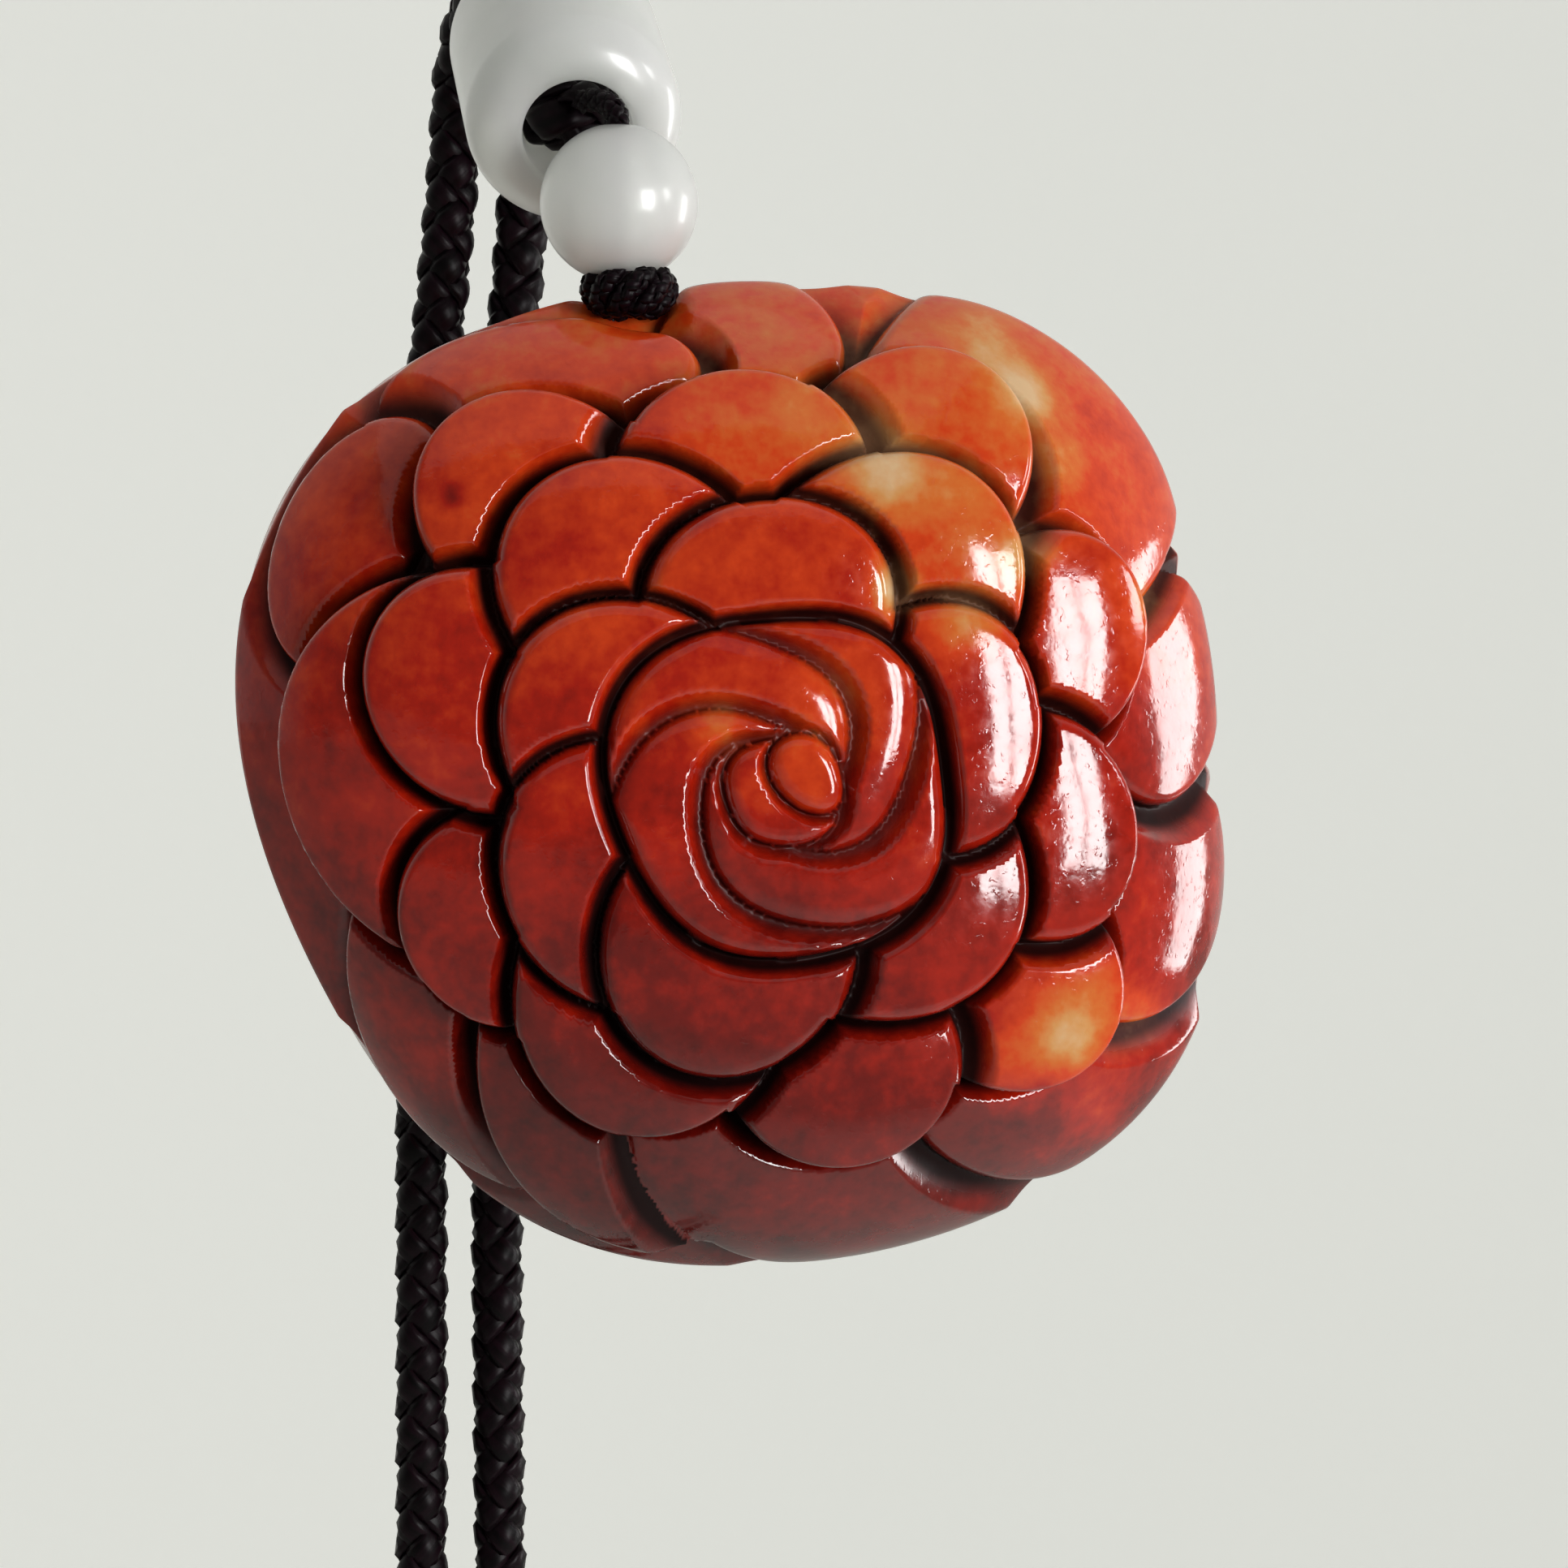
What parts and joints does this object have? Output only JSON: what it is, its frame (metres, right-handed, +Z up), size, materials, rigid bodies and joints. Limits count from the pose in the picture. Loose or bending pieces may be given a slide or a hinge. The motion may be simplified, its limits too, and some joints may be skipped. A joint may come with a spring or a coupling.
{
  "type": "carved jade flower pendant necklace",
  "caption": "Domed stone pendant carved as a many-petalled flower, hung by a knotted thread from a round bead and a barrel bead on a braided neck cord loop.",
  "frame": {"origin": "middle of the pendant's flat polished back, where it is held", "axes": "the flower looks along -Y, +Z is up towards the beads, +X is to the viewer's right"},
  "size_m": [0.0397, 0.0325, 0.2935],
  "materials": {
    "russet_jade": "carved and highly polished russet skin jade",
    "milky_stone": "polished translucent milky stone",
    "braid": "plaited dark purple-brown cord"
  },
  "bodies": {
    "root": {"flower_pendant": "russet_jade", "hanging_thread": "braid", "thread_knot": "braid", "round_bead": "milky_stone", "barrel_bead": "milky_stone", "cord_fold": "braid", "neck_cord": "braid"}
  },
  "joints": []
}
